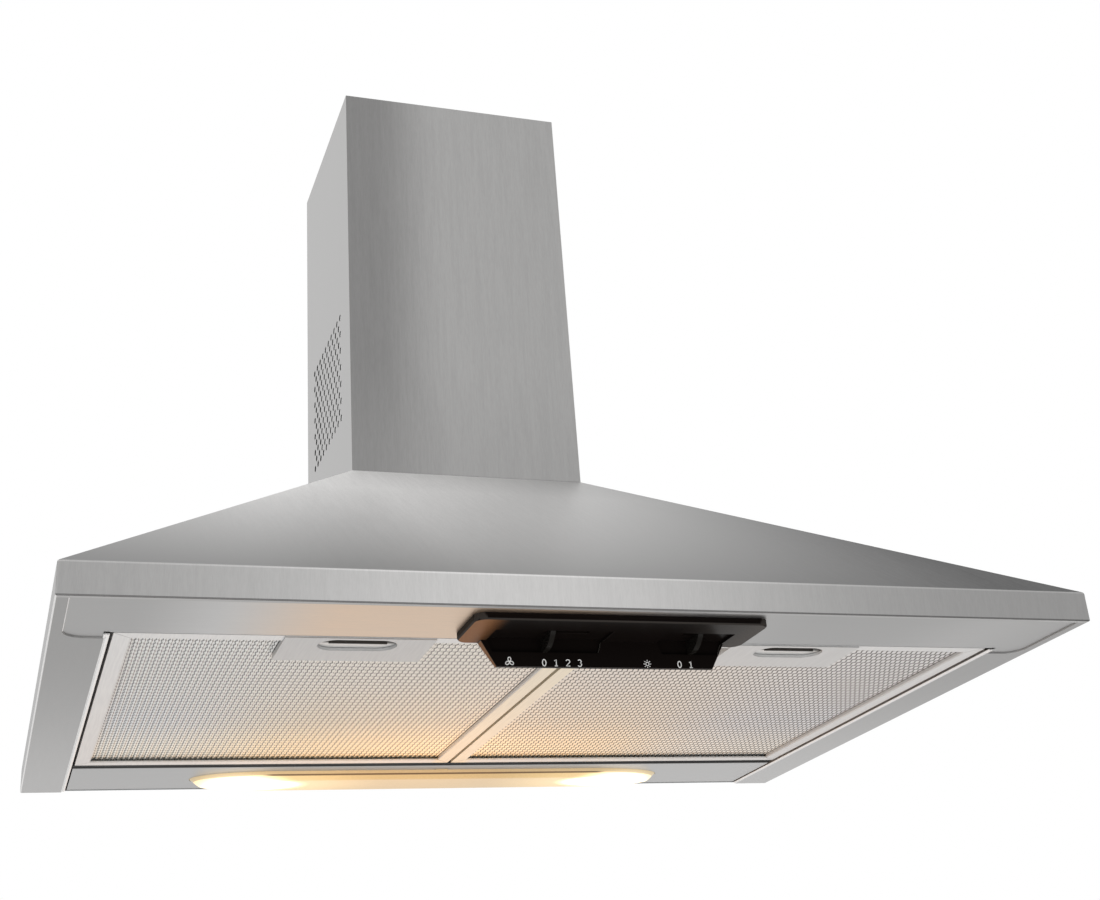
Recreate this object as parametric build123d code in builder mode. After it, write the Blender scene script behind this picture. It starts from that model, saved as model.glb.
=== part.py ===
from build123d import *
import math
import os

os.makedirs("parts", exist_ok=True)

# A 60 cm chimney hood for a wall. Sizes are in millimetres. The wall is the plane Y = 0, the room is
# towards -Y and +Z is up. The origin is on the wall, at the centre of the four wall screws.
# Heights in this script are counted from the lower rim of the canopy, which lies at Z = rim_z.

# ---- Driving dimensions ----

# Canopy
hood_width = 598.0
hood_depth = 470.0
skirt_height = 18.0
slope_rise = 177.0
steel = 0.8
flange_width = 29.0
flange_lip = 7.0
strip_width = 6.5
notch_depth = 73.0
notch_radius = 12.0
front_return = 4.0
collar_flange = 10.0

# Chimney
chimney_width = 177.0
chimney_depth = 173.0
chimney_height = 329.0
chimney_return = 12.0

# Vents in both sides of the chimney
vent_diameter = 5.8
vent_pitch_y = 11.7
vent_pitch_z = 14.3
vent_columns = 10
vent_rows = 7
vent_sides = 6
vent_centre_y = -84.5
vent_centre_height = 295.0

# Back plate and wall screws
plate = 1.0
back_flange = 12.0
wall_screw_height = 105.0
wall_screw_spacing_x = 240.0
wall_screw_spacing_z = 90.0
wall_hole_diameter = 8.0
plate_gap = 0.2

# Chimney bracket
bracket_thickness = 1.5
bracket_height = 24.0
bracket_tab = 26.0
bracket_drop = 12.0
pad_width = 30.0
pad_offset = 50.0
bracket_gap = 0.3
bracket_hole_diameter = 4.0

# Front panel
panel_gap = 0.6
panel_depth = 65.5
panel_fold = 11.0
panel_lip = 8.0
panel_lip_gap = 1.5
panel_overlap = 30.0
latch_window_gap = 2.0
latch_window_height = 3.0
bend_radius = 2.0

# Lamp panel and lamp tray
lamp_panel_height = 1.2
lamp_panel_front_y = -75.0
lamp_panel_fold = 14.0
side_gap = 3.0
tray_length = 380.0
tray_depth = 60.0
tray_height = 38.0
tray_front_y = -65.5

# Lamp cover
cover_length = 366.0
cover_width = 50.0
cover_front_y = -60.0
cover_end = 60.0
cover_rim = 2.8
cover_bulge = 4.3
cover_wall = 1.5
lens_depth = 3.3
clip_width = 9.0
clip_reach = 3.0
clip_drop = 0.4
hinge_tab_width = 10.0
hinge_tab_offset = 90.0
hinge_tab_reach = 3.2
hinge_tab_thickness = 1.0
cover_slope = 7.0
cover_fillet = 4.5
cover_gap = 0.5

# Lamps
bulb_diameter = 25.0
bulb_length = 58.0
bulb_outer_x = 170.0
lamp_axis_height = 20.0
cap_diameter = 14.0
cap_length = 18.0
socket_diameter = 24.0
socket_length = 30.0
socket_gap = 2.0
cap_gap = 1.0
bulb_shoulder = 6.0
bulb_taper = 22.0
bulb_tip = 7.0

# Grease filters
filter_side_gap = 3.7
filter_front_gap = 1.5
filter_rear_gap = 8.0
filter_thickness = 9.0
filter_height = 1.5
filter_gap = 2.6
filter_sheet = 1.0
rail_width = 9.0
rib_pitch = 3.6
rib_height = 1.1
mesh_recess = 2.8
mesh_gap = 0.3
hook_width = 12.0
hook_spacing = 180.0
hook_sheet = 1.0
hook_drop = 1.5
hook_reach = 4.0
hook_side_gap = 0.5
hook_slot_height = 4.2

# Filter handle and its latch
handle_width = 85.0
handle_depth = 45.0
handle_sheet = 0.8
handle_stand = 0.8
handle_offset = 0.5
handle_gap = 0.3
collar_height = 0.9
finger_slot_offset = 14.0
finger_slot_length = 45.0
finger_slot_width = 21.0
latch_width = 60.0
latch_depth = 39.0
latch_sheet = 1.0
latch_hole_length = 41.0
latch_hole_width = 8.0
latch_hole_offset = 0.5
latch_lip = 1.0
latch_lip_drop = 1.3
latch_gap = 0.2
latch_side_gap = 0.5

# Control panel
control_offset = 3.0
bezel_width = 174.0
bezel_depth = 46.0
bezel_setback = 13.0
bezel_thickness = 4.0
bezel_radius = 7.0
blade_setback = 52.0
blade_top_half = 74.0
blade_bottom_half = 65.5
blade_drop = 15.0
blade_tip = 2.4
recess_depth = 1.8
recess_setback = 32.0
recess_drop = 6.6
recess_slant = 3.0
fan_recess_left = -70.5
fan_recess_right = -1.5
lamp_recess_left = 31.7
lamp_recess_right = 73.0
box_half = 70.0
box_setback = 22.0
box_depth = 27.0
box_wall = 1.6
box_height = 13.0
box_gap = 0.5
bezel_chamfer = 0.8
stem_gap = 0.5

# Sliders: the fan has the stops 0 to 3, the lamps have 0 and 1
stop_pitch = 7.0
fan_stop_zero = -36.8
fan_stops = 4
lamp_stop_zero = 45.4
lamp_stops = 2
fin_thickness = 3.0
fin_bulge = 2.6
fin_front_gap = 1.4
slide_gap = 0.3
stem_setback = 40.0
stem_size = 3.0
carrier_width = 12.0
carrier_thickness = 2.4
peg_height = 5.0
board_thickness = 1.6
switch_height = 6.5
switch_depth = 11.0
switch_wall = 4.0

# Blower
impeller_radius = 58.0
blade_inner_radius = 48.0
impeller_half = 51.0
impeller_blades = 32
blade_thickness = 1.2
disc_thickness = 2.0
rim_thickness = 2.0
hub_radius = 11.0
hub_half = 12.0
shaft_radius = 4.0
bearing_gap = 0.05
scroll_first_radius = 68.0
scroll_step = 8.0
scroll_half = 56.0
scroll_wall = 2.0
scroll_height = 107.0
scroll_flange = 12.0
scroll_flange_thickness = 2.5
inlet_radius = 47.0
inlet_ring = 3.0
motor_radius = 36.5
motor_inner_x = 16.0
motor_outer_x = 74.0
motor_chamfer = 4.0
motor_arms = 3
arm_width = 12.0
arm_thickness = 2.5
arm_overlap = 9.0
arm_screw_offset = 5.0
bracket_ring = 4.5
shaft_end = 3.0
blade_inset = 1.0
blade_camber = 1.2
blade_rise = 1.6
blade_lead = 6.0

# Mounting plate, outlet spigot and non-return flaps
mount_plate = 1.2
mount_fold = 20.0
spigot_radius = 60.0
spigot_wall = 2.0
spigot_collar = 40.0
spigot_cone = 18.0
spigot_flange = 2.0
flap_radius = 56.3
flap_thickness = 1.2
flap_pin_radius = 1.5
flap_pin_offset = 3.6
flap_eye_radius = 2.8
flap_pin_gap = 0.08
eye_half = 50.0
eye_gap = 0.6
pin_gap = 0.03
pin_end = 1.0
flap_rise = 10.0
ledge_width = 3.5
gland_radius = 6.0
gland_side = 20.5
gland_y = -15.0
gland_length = 14.0
gland_drop = 4.0
gland_nut = 8.5
gland_nut_height = 4.0
screw_radius = 2.0
screw_head_radius = 4.0
screw_head = 2.6
screw_head_sides = 6
screw_gap = 0.05
screw_end = 2.0
terminal_box_width = 50.0
terminal_box_height = 36.0
terminal_box_depth = 30.0
terminal_box_x = -165.0
terminal_box_low = 45.0
terminal_box_chamfer = 2.0

# ---- Values worked out from them ----

rim_z = -wall_screw_height
slope_top = skirt_height + slope_rise
chimney_top = slope_top + chimney_height
slope_run = (hood_width - chimney_width) / 2 / slope_rise
slope_stretch = math.hypot(1, slope_run)
front_run = (hood_depth - chimney_depth) / slope_rise
flange_edge = hood_width / 2 - flange_width
strip_edge = hood_width / 2 - strip_width
notch_y = -hood_depth + notch_depth
panel_rear_y = -hood_depth + panel_depth
bezel_front_y = -hood_depth + bezel_setback
recess_front_y = -hood_depth + recess_setback
blade_y = -hood_depth + blade_setback
stem_y = -hood_depth + stem_setback
box_front_y = -hood_depth + box_setback
box_rear_y = box_front_y + box_depth
filter_front_y = panel_rear_y + filter_front_gap
filter_rear_y = lamp_panel_front_y - filter_rear_gap
filter_depth = filter_rear_y - filter_front_y
filter_width = flange_edge - filter_side_gap - filter_gap / 2
finger_slot_y = filter_front_y + finger_slot_offset
chimney_y = -chimney_depth / 2
gland_x = chimney_width / 2 - gland_side
mount_plate_top = slope_top - steel
mount_plate_low = mount_plate_top - mount_plate

# Rectangles that are centred in X and reach from the wall into the room
AT_WALL = (Align.CENTER, Align.MAX)


def level(height):
    """Horizontal plane at a height above the lower rim; its sketches read (x, y)."""
    return Plane.XY.offset(rim_z + height)


def section(x):
    """Upright plane across the hood, facing +X; its sketches read (y, height)."""
    return Plane(origin=(x, 0, rim_z), x_dir=(0, 1, 0), z_dir=(1, 0, 0))


def elevation(y):
    """Upright plane along the wall, facing the room; its sketches read (x, height)."""
    return Plane(origin=(0, y, rim_z), x_dir=(1, 0, 0), z_dir=(0, -1, 0))


# ---- Canopy: folded steel, open below, above and towards the wall ----

def cut_slopes(inset):
    """Cut the block at hand along the side slopes and the front slope, moved inwards by inset."""
    for side in (-1, 1):
        side_edge = (side * hood_width / 2, 0, rim_z + skirt_height)
        split(bisect_by=Plane(side_edge, z_dir=(side, 0, slope_run)).offset(-inset), keep=Keep.BOTTOM)
    front_edge = (0, -hood_depth, rim_z + skirt_height)
    split(bisect_by=Plane(front_edge, z_dir=(0, -1, front_run)).offset(-inset), keep=Keep.BOTTOM)


with BuildPart() as canopy_inside:
    with BuildSketch(level(-steel)):
        with Locations((0, steel)):
            Rectangle(hood_width - 2 * steel, hood_depth, align=AT_WALL)
    extrude(amount=slope_top + 2 * steel)
    cut_slopes(steel)

with BuildPart() as canopy:
    with BuildSketch(level(0)):
        Rectangle(hood_width, hood_depth, align=AT_WALL)
    extrude(amount=slope_top)
    cut_slopes(0)
    add(canopy_inside.part, mode=Mode.SUBTRACT)
    # Flanges under the sides and the short return under the front
    with BuildSketch(level(0)) as rim_flange:
        Rectangle(hood_width, hood_depth, align=AT_WALL)
        Rectangle(2 * flange_edge, hood_depth - front_return, align=AT_WALL, mode=Mode.SUBTRACT)
        with Locations((0, notch_y)):
            Rectangle(2 * strip_edge, notch_depth - front_return, align=AT_WALL, mode=Mode.SUBTRACT)
        notch_corners = rim_flange.vertices().filter_by(
            lambda v: abs(v.Y - notch_y) < 0.01 and abs(v.X) > flange_edge + 1
        )
        fillet(notch_corners, radius=notch_radius)
    extrude(amount=steel)
    # Upturned lips along the inner edges of the side flanges
    with BuildSketch(level(0)):
        for side in (-1, 1):
            with Locations((side * (flange_edge + steel / 2), -2 * plate)):
                Rectangle(steel, -notch_y - 2 * plate, align=AT_WALL)
    extrude(amount=flange_lip)
    # Inward flange that the chimney stands on
    with BuildSketch(level(mount_plate_top)):
        Rectangle(chimney_width, chimney_depth, align=AT_WALL)
        Rectangle(
            chimney_width - 2 * collar_flange,
            chimney_depth - collar_flange,
            align=AT_WALL,
            mode=Mode.SUBTRACT,
        )
    extrude(amount=steel)
canopy.part.label = "canopy"
export_step(canopy.part, "parts/canopy.step")


# ---- Back plate: closes the canopy towards the wall and takes the wall screws ----

def canopy_outline(inset, low, high):
    """Half of the canopy's rear outline, moved inwards by inset, from one height to another."""
    side_x = hood_width / 2 - inset
    bend = skirt_height - inset * (slope_stretch - 1) / slope_run
    top_x = side_x - (high - bend) * slope_run
    return [(0, low), (side_x, low), (side_x, bend), (top_x, high), (0, high)]


with BuildPart() as back_plate:
    with BuildSketch(elevation(0)):
        with BuildLine():
            Polyline(*canopy_outline(steel + plate_gap, steel + plate_gap, mount_plate_low), close=True)
        make_face()
        mirror(about=Plane.YZ)
    extrude(amount=back_flange)
    with BuildSketch(elevation(-plate)):
        with BuildLine():
            Polyline(*canopy_outline(steel + plate_gap + plate, 0, slope_top), close=True)
        make_face()
        mirror(about=Plane.YZ)
    extrude(amount=back_flange, mode=Mode.SUBTRACT)
    with BuildSketch(elevation(0)):
        with Locations((0, wall_screw_height)):
            with GridLocations(wall_screw_spacing_x, wall_screw_spacing_z, 2, 2):
                Circle(wall_hole_diameter / 2)
    extrude(amount=plate, mode=Mode.SUBTRACT)
back_plate.part.label = "back_plate"
export_step(back_plate.part, "parts/back_plate.step")


# ---- Chimney: a steel channel that is open towards the wall ----

with BuildPart() as chimney:
    with BuildSketch(level(slope_top)):
        Rectangle(chimney_width, chimney_depth, align=AT_WALL)
        with Locations((0, -steel)):
            Rectangle(
                chimney_width - 2 * steel,
                chimney_depth - 2 * steel,
                align=AT_WALL,
                mode=Mode.SUBTRACT,
            )
        Rectangle(chimney_width - 2 * chimney_return, steel, align=AT_WALL, mode=Mode.SUBTRACT)
    extrude(amount=chimney_height)
    with BuildSketch(section(-chimney_width / 2)):
        with Locations((vent_centre_y, vent_centre_height)):
            with GridLocations(vent_pitch_y, vent_pitch_z, vent_columns, vent_rows):
                RegularPolygon(vent_diameter / 2, vent_sides)
            with GridLocations(vent_pitch_y, vent_pitch_z, vent_columns - 1, vent_rows - 1):
                RegularPolygon(vent_diameter / 2, vent_sides)
    extrude(amount=chimney_width, mode=Mode.SUBTRACT)
chimney.part.label = "chimney"
export_step(chimney.part, "parts/chimney.step")


# ---- Chimney bracket: screwed to the wall, it holds the top of the chimney ----

bracket_front = steel + bracket_gap
with BuildPart() as chimney_bracket:
    bracket_low = chimney_top - bracket_drop - bracket_height
    bracket_width = chimney_width - 2 * steel
    with BuildSketch(level(bracket_low)):
        with Locations((0, -bracket_front)):
            Rectangle(bracket_width, bracket_tab, align=AT_WALL)
        with Locations((0, -bracket_front - bracket_thickness)):
            Rectangle(
                bracket_width - 2 * bracket_thickness,
                bracket_tab,
                align=AT_WALL,
                mode=Mode.SUBTRACT,
            )
    extrude(amount=bracket_height)
    with BuildSketch(level(bracket_low)):
        with Locations((-pad_offset, 0), (pad_offset, 0)):
            Rectangle(pad_width, bracket_front, align=AT_WALL)
    extrude(amount=bracket_height)
    with BuildSketch(elevation(0)):
        with Locations((-pad_offset, bracket_low + bracket_height / 2)):
            Circle(bracket_hole_diameter / 2)
        with Locations((pad_offset, bracket_low + bracket_height / 2)):
            Circle(bracket_hole_diameter / 2)
    extrude(amount=bracket_front + bracket_thickness, mode=Mode.SUBTRACT)
chimney_bracket.part.label = "chimney_bracket"
export_step(chimney_bracket.part, "parts/chimney_bracket.step")


# ---- Front panel: a folded sheet that carries the controls ----

panel_mid = steel * 1.5
panel_front_y = -hood_depth + steel + panel_gap
panel_half = hood_width / 2 - steel - 2 * panel_gap
lip_half = flange_edge - panel_lip_gap
corner_inner = flange_edge + 2 * steel
box_y = (box_front_y + box_rear_y) / 2
filter_x = (filter_width + filter_gap) / 2
latch_height = filter_height + filter_sheet + latch_gap
with BuildPart() as front_panel:
    with BuildSketch(section(0)):
        with BuildLine() as fold:
            FilletPolyline(
                (panel_front_y + steel / 2, panel_fold),
                (panel_front_y + steel / 2, panel_mid),
                (panel_rear_y - steel / 2, panel_mid),
                (panel_rear_y - steel / 2, panel_lip + steel),
                radius=bend_radius,
            )
        trace(line_width=steel)
    extrude(amount=panel_half, both=True)
    # The lip stops at the side flanges, where flat corners fill the notches instead
    with BuildSketch(level(steel)):
        for side in (-1, 1):
            with Locations((side * (lip_half + panel_half) / 2, panel_rear_y)):
                Rectangle(panel_half - lip_half, 2 * (bend_radius + steel))
    extrude(amount=panel_fold, mode=Mode.SUBTRACT)
    with BuildSketch(level(steel)):
        for side in (-1, 1):
            with Locations((side * (corner_inner + panel_half) / 2, notch_y)):
                Rectangle(panel_half - corner_inner, 2 * panel_overlap)
    extrude(amount=steel)
    # Opening for the switch box and windows for the filter latches
    with BuildSketch(level(0)):
        with Locations((control_offset, box_y)):
            Rectangle(2 * (box_half + box_gap), box_rear_y - box_front_y + 2 * box_gap)
    extrude(amount=panel_fold, mode=Mode.SUBTRACT)
    with BuildSketch(elevation(panel_rear_y)):
        for side in (-1, 1):
            with Locations((side * filter_x, latch_height + latch_sheet / 2)):
                Rectangle(latch_width + 2 * latch_window_gap, latch_window_height)
    extrude(amount=2 * steel, mode=Mode.SUBTRACT)
front_panel.part.label = "front_panel"
export_step(front_panel.part, "parts/front_panel.step")


# ---- Lamp panel: folded sheet behind the filters, with the opening of the lamp cover ----

cover_y = cover_front_y + cover_width / 2
cover_straight = cover_length - 2 * cover_end
hook_height = filter_height + filter_thickness - hook_drop - hook_sheet
hook_tip_y = lamp_panel_front_y + steel / 2 + hook_reach


def cover_outline(grow):
    """Plan of the lamp cover, grown outwards: straight long sides and elliptical ends."""
    with Locations((0, cover_y)):
        Rectangle(cover_straight, cover_width + 2 * grow)
    with Locations((-cover_straight / 2, cover_y), (cover_straight / 2, cover_y)):
        Ellipse(cover_end + grow, cover_width / 2 + grow)


with BuildPart() as lamp_panel:
    lamp_mid = lamp_panel_height + steel / 2
    with BuildSketch(section(0)):
        with BuildLine():
            FilletPolyline(
                (-plate - steel / 2, lamp_panel_height + lamp_panel_fold),
                (-plate - steel / 2, lamp_mid),
                (lamp_panel_front_y + steel / 2, lamp_mid),
                (lamp_panel_front_y + steel / 2, lamp_panel_height + lamp_panel_fold),
                radius=bend_radius,
            )
        trace(line_width=steel)
    extrude(amount=flange_edge - side_gap, both=True)
    with BuildSketch(level(lamp_panel_height)):
        cover_outline(cover_gap)
        with Locations((0, cover_front_y)):
            Rectangle(clip_width + 2 * cover_gap, 2 * (clip_reach + cover_gap))
    extrude(amount=steel, mode=Mode.SUBTRACT)
    # Slots for the hooks at the rear of the filters
    with BuildSketch(elevation(lamp_panel_front_y + 2 * steel)):
        for side in (-1, 1):
            with Locations((side * filter_x, hook_height - slide_gap)):
                with GridLocations(hook_spacing, 1, 2, 1):
                    Rectangle(
                        hook_width + 2 * hook_side_gap,
                        hook_slot_height,
                        align=(Align.CENTER, Align.MIN),
                    )
    extrude(amount=3 * steel, mode=Mode.SUBTRACT)
lamp_panel.part.label = "lamp_panel"
export_step(lamp_panel.part, "parts/lamp_panel.step")


# ---- Lamp tray: the box above the lamp panel that holds both lamps ----

tray_low = lamp_panel_height + steel
tray_y = tray_front_y + tray_depth / 2
with BuildPart() as lamp_tray:
    with BuildSketch(level(tray_low)):
        with Locations((0, tray_y)):
            Rectangle(tray_length, tray_depth)
    extrude(amount=tray_height)
    with BuildSketch(level(tray_low)):
        with Locations((0, tray_y)):
            Rectangle(tray_length - 2 * steel, tray_depth - 2 * steel)
    extrude(amount=tray_height - steel, mode=Mode.SUBTRACT)
lamp_tray.part.label = "lamp_tray"
export_step(lamp_tray.part, "parts/lamp_tray.step")


# ---- Lamp cover: a domed translucent lens in a rim with hooks behind and a clip in front ----

def cover_dome(inset, bottom):
    """Block of the lamp cover's shape, moved inwards by inset, down to the height bottom."""
    with BuildPart() as dome:
        with BuildSketch(level(lamp_panel_height)):
            cover_outline(-inset)
        extrude(amount=cover_rim)
        with BuildSketch(level(lamp_panel_height)):
            cover_outline(-inset)
        with BuildSketch(level(bottom)):
            cover_outline(-inset - cover_slope)
        loft(ruled=True)
        fillet(dome.edges().group_by(Axis.Z)[0], radius=cover_fillet)
    return dome.part


cover_outside = cover_dome(0, -cover_bulge)
cover_inside = cover_dome(cover_wall, cover_wall - cover_bulge)
lens_top = level(lens_depth - cover_bulge)
with BuildPart() as lamp_cover:
    add(cover_outside)
    add(cover_inside, mode=Mode.SUBTRACT)
    split(bisect_by=lens_top, keep=Keep.BOTTOM)
lamp_cover.part.label = "lamp_cover"
export_step(lamp_cover.part, "parts/lamp_cover.step")

with BuildPart() as lamp_cover_rim:
    add(cover_outside)
    add(cover_inside, mode=Mode.SUBTRACT)
    split(bisect_by=lens_top, keep=Keep.TOP)
    # Clip at the middle of the front edge
    with BuildSketch(level(lamp_panel_height - clip_drop)):
        with Locations((0, cover_front_y + cover_wall)):
            Rectangle(clip_width, clip_reach + cover_wall, align=AT_WALL)
    extrude(amount=steel + clip_drop)
    # Hooks that lie on the rear edge of the opening
    with BuildSketch(level(tray_low + slide_gap)):
        with Locations((0, cover_front_y + cover_width + hinge_tab_reach)):
            with Locations((-hinge_tab_offset, 0), (hinge_tab_offset, 0)):
                Rectangle(hinge_tab_width, hinge_tab_reach + cover_wall, align=AT_WALL)
    extrude(amount=hinge_tab_thickness)
lamp_cover_rim.part.label = "lamp_cover_rim"
export_step(lamp_cover_rim.part, "parts/lamp_cover_rim.step")


# ---- Lamps and their sockets, one at each end of the cover ----

glass_inner_x = bulb_outer_x - bulb_length
socket_front_x = glass_inner_x - socket_gap
socket_back_x = socket_front_x - socket_length
for side, hand in ((-1, "left"), (1, "right")):
    lamp_axis = Axis((0, cover_y, rim_z + lamp_axis_height), (1, 0, 0))
    with BuildPart() as lamp:
        with BuildSketch(elevation(cover_y)):
            with BuildLine():
                Polyline(
                    (side * bulb_outer_x, lamp_axis_height),
                    (side * (glass_inner_x - cap_length), lamp_axis_height),
                    (side * (glass_inner_x - cap_length), lamp_axis_height + cap_diameter / 2),
                    (side * glass_inner_x, lamp_axis_height + cap_diameter / 2),
                    (side * (glass_inner_x + bulb_shoulder), lamp_axis_height + bulb_diameter / 2),
                    (side * (bulb_outer_x - bulb_taper), lamp_axis_height + bulb_diameter / 2),
                    (side * bulb_outer_x, lamp_axis_height + bulb_tip / 2),
                    close=True,
                )
            make_face()
        revolve(axis=lamp_axis)
    lamp.part.label = f"lamp_{hand}"
    export_step(lamp.part, f"parts/lamp_{hand}.step")

    with BuildPart() as lamp_socket:
        with BuildSketch(section(side * socket_back_x)):
            with Locations((cover_y, lamp_axis_height)):
                Circle(socket_diameter / 2)
            with Locations((cover_y, (lamp_axis_height + tray_low + tray_height - steel) / 2)):
                Rectangle(socket_diameter / 2, tray_low + tray_height - steel - lamp_axis_height)
        extrude(amount=side * socket_length)
        with BuildSketch(section(side * socket_front_x)):
            with Locations((cover_y, lamp_axis_height)):
                Circle(cap_diameter / 2 + bearing_gap)
        extrude(amount=-side * (cap_length - socket_gap + cap_gap), mode=Mode.SUBTRACT)
    lamp_socket.part.label = f"lamp_socket_{hand}"
    export_step(lamp_socket.part, f"parts/lamp_socket_{hand}.step")


# ---- Grease filters: channel frame, ribbed mesh, handle plate and sprung latch ----

filter_y = filter_rear_y - filter_depth / 2
pocket_low = filter_height + filter_sheet
pocket_height = filter_thickness - 2 * filter_sheet
mesh_low = pocket_low + mesh_recess
mesh_width = filter_width - 2 * filter_sheet - 2 * mesh_gap
mesh_depth = filter_depth - 2 * filter_sheet - 2 * mesh_gap
mesh_top = pocket_low + pocket_height - slide_gap
rib_count = round(mesh_width / rib_pitch)
rib_step = mesh_width / rib_count
handle_low = filter_height - handle_stand
handle_front_y = filter_front_y + handle_offset
handle_rear_y = handle_front_y + handle_depth
collar_length = finger_slot_length + 2 * handle_sheet
collar_width = finger_slot_width + 2 * handle_sheet
latch_hole_y = finger_slot_y - finger_slot_width / 2 + latch_hole_offset + latch_hole_width / 2
latch_tip_y = panel_rear_y + slide_gap

for side, hand in ((-1, "left"), (1, "right")):
    centre_x = side * filter_x

    with BuildPart() as filter_frame:
        with BuildSketch(level(filter_height)):
            with Locations((centre_x, filter_y)):
                Rectangle(filter_width, filter_depth)
        extrude(amount=filter_thickness)
        with BuildSketch(level(pocket_low)):
            with Locations((centre_x, filter_y)):
                Rectangle(filter_width - 2 * filter_sheet, filter_depth - 2 * filter_sheet)
        extrude(amount=pocket_height, mode=Mode.SUBTRACT)
        with BuildSketch(level(filter_height)):
            with Locations((centre_x, filter_y)):
                Rectangle(filter_width - 2 * rail_width, filter_depth - 2 * rail_width)
        extrude(amount=filter_thickness, mode=Mode.SUBTRACT)
        # Window in the front rail for the finger slot of the handle
        with BuildSketch(level(filter_height)):
            with Locations((centre_x, finger_slot_y)):
                SlotOverall(collar_length + 2 * handle_gap, collar_width + 2 * handle_gap)
        extrude(amount=filter_sheet, mode=Mode.SUBTRACT)
        # Way out of the front rail for the latch
        with BuildSketch(elevation(filter_front_y + filter_sheet)):
            with Locations((centre_x, latch_height + latch_sheet / 2)):
                Rectangle(latch_width + 2 * latch_side_gap, latch_sheet + 2 * latch_gap)
        extrude(amount=filter_sheet, mode=Mode.SUBTRACT)
        # Hooks that reach through the slots of the lamp panel
        with BuildSketch(level(hook_height)):
            with Locations((centre_x, hook_tip_y)):
                with GridLocations(hook_spacing, 1, 2, 1):
                    Rectangle(hook_width, hook_tip_y - filter_rear_y + filter_sheet, align=AT_WALL)
        extrude(amount=hook_sheet)
    filter_frame.part.label = f"filter_frame_{hand}"
    export_step(filter_frame.part, f"parts/filter_frame_{hand}.step")

    with BuildPart() as filter_mesh:
        rib_points = []
        for rib in range(rib_count):
            rib_x = centre_x - mesh_width / 2 + rib * rib_step
            rib_points.append((rib_x, mesh_low))
            rib_points.append((rib_x + rib_step / 2, mesh_low - rib_height))
        rib_points.append((centre_x + mesh_width / 2, mesh_low))
        with BuildSketch(elevation(filter_y)):
            with BuildLine():
                ribs = Polyline(*rib_points)
                Polyline(
                    ribs @ 1,
                    (centre_x + mesh_width / 2, mesh_top),
                    (centre_x - mesh_width / 2, mesh_top),
                    ribs @ 0,
                )
            make_face()
        extrude(amount=mesh_depth / 2, both=True)
    filter_mesh.part.label = f"filter_mesh_{hand}"
    export_step(filter_mesh.part, f"parts/filter_mesh_{hand}.step")

    with BuildPart() as filter_handle:
        with BuildSketch(level(handle_low)):
            with Locations((centre_x, handle_rear_y)):
                Rectangle(handle_width, handle_depth, align=AT_WALL)
        extrude(amount=handle_sheet)
        # Upturned edges behind the front rail
        handle_window = handle_rear_y - filter_front_y - rail_width - handle_gap
        with BuildSketch(level(filter_height)):
            with Locations((centre_x, handle_rear_y)):
                Rectangle(handle_width, handle_window, align=AT_WALL)
            with Locations((centre_x, handle_rear_y - handle_sheet)):
                Rectangle(
                    handle_width - 2 * handle_sheet,
                    handle_window,
                    align=AT_WALL,
                    mode=Mode.SUBTRACT,
                )
        extrude(amount=mesh_low - rib_height - mesh_gap - filter_height)
        # Finger slot with a raised collar
        with BuildSketch(level(handle_low)):
            with Locations((centre_x, finger_slot_y)):
                SlotOverall(collar_length, collar_width)
        extrude(amount=handle_sheet + collar_height)
        with BuildSketch(level(handle_low)):
            with Locations((centre_x, finger_slot_y)):
                SlotOverall(finger_slot_length, finger_slot_width)
        extrude(amount=handle_sheet + collar_height, mode=Mode.SUBTRACT)
    filter_handle.part.label = f"filter_handle_{hand}"
    export_step(filter_handle.part, f"parts/filter_handle_{hand}.step")

    with BuildPart() as filter_latch:
        with BuildSketch(level(latch_height)):
            with Locations((centre_x, latch_tip_y + latch_depth)):
                Rectangle(latch_width, latch_depth, align=AT_WALL)
            with Locations((centre_x, latch_hole_y)):
                SlotOverall(latch_hole_length, latch_hole_width, mode=Mode.SUBTRACT)
        extrude(amount=latch_sheet)
        # Lip for the fingertip along the rear of the hole
        with BuildSketch(level(latch_height)):
            with Locations((centre_x, latch_hole_y + (latch_hole_width + latch_lip) / 2)):
                Rectangle(latch_hole_length - latch_hole_width, latch_lip)
        extrude(amount=-latch_lip_drop)
    filter_latch.part.label = f"filter_latch_{hand}"
    export_step(filter_latch.part, f"parts/filter_latch_{hand}.step")


# ---- Control panel: moulded bezel under the front panel, with the legend blade behind it ----

bezel_low = steel - bezel_thickness
bezel_y = bezel_front_y + bezel_depth / 2
bezel_rear_y = bezel_front_y + bezel_depth
blade_low = bezel_low - blade_drop
floor_height = bezel_low + recess_depth
floor_y = blade_y + recess_depth
recess_low = bezel_low - recess_drop
fan_travel = (fan_stops - 1) * stop_pitch
lamp_travel = (lamp_stops - 1) * stop_pitch


def control_elevation(y):
    """Upright plane facing the room, centred on the control panel."""
    return Plane(origin=(control_offset, y, rim_z), x_dir=(1, 0, 0), z_dir=(0, -1, 0))


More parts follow.
